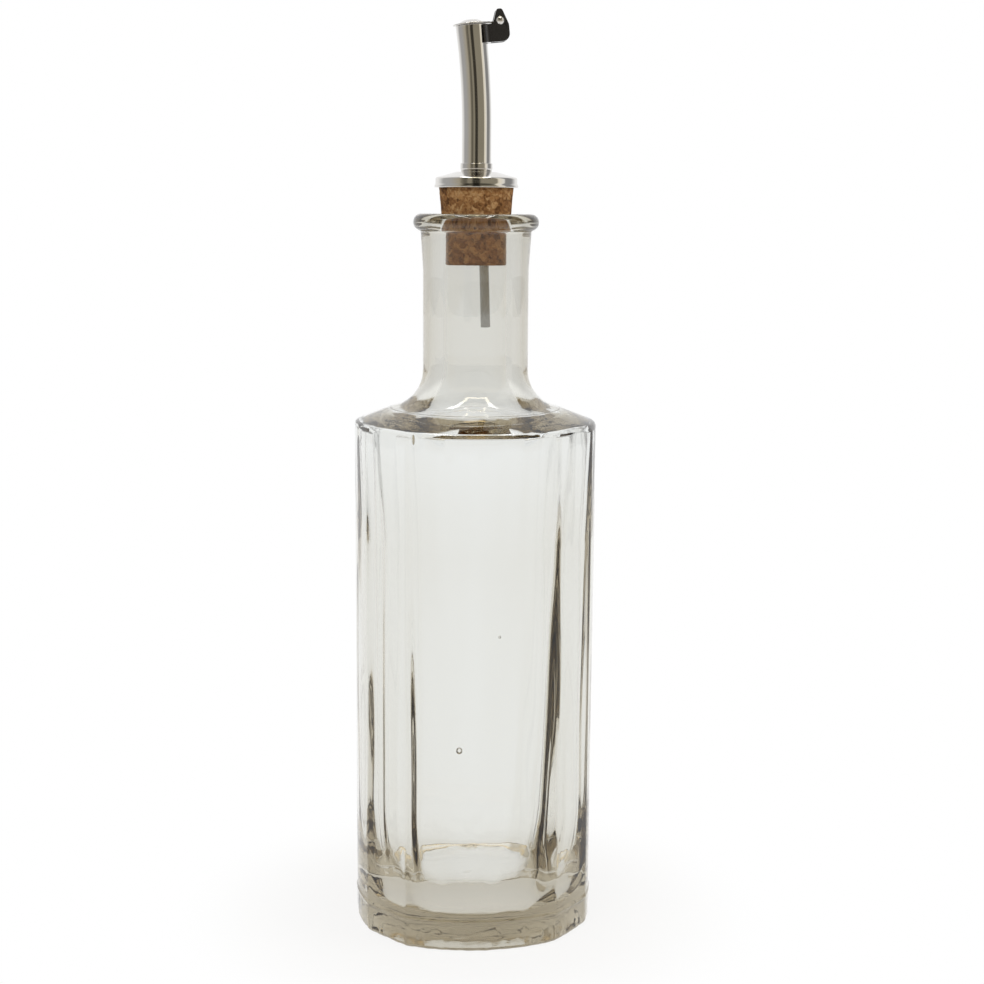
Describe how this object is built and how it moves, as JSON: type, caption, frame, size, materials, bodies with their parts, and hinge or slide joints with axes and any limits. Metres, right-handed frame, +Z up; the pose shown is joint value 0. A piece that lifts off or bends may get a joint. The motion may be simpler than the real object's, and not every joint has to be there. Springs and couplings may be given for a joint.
{
  "type": "oil bottle",
  "caption": "Clear glass oil bottle with bowed panels, a low shoulder and a rolled lip, closed by a cork pourer with a bent steel spout and a hinged flap lid.",
  "frame": {"origin": "centre of the base, on the surface that the bottle stands on", "axes": "+Z up along the neck, the broad front panel faces -Y, the spout bends to -X and its hinge is on +X"},
  "size_m": [0.0754, 0.073, 0.2867],
  "materials": {
    "glass": "smooth blown glass with a faint olive tint",
    "cork": "agglomerated cork",
    "steel": "polished stainless steel",
    "black_plastic": "moulded, half gloss"
  },
  "bodies": {
    "bottle": {"glass_bottle": "glass"},
    "stopper": {"cork_stopper": "cork", "cap_disc": "steel", "spout_ferrule": "steel", "spout_tube": "steel", "breather_tube": "steel", "hinge_bracket": "black_plastic", "hinge_pin": "steel"},
    "lid": {"lid_flap": "steel"}
  },
  "joints": [
    {"name": "stopper_lift", "type": "slide", "parent": "bottle", "child": "stopper", "axis": [0, 0, 1], "range_m": [0, 0.06]},
    {"name": "lid_hinge", "type": "hinge", "parent": "stopper", "child": "lid", "pos_m": [0.00674, 0, 0.28319], "axis": [0, 1, 0], "range_deg": [0, 60]}
  ]
}
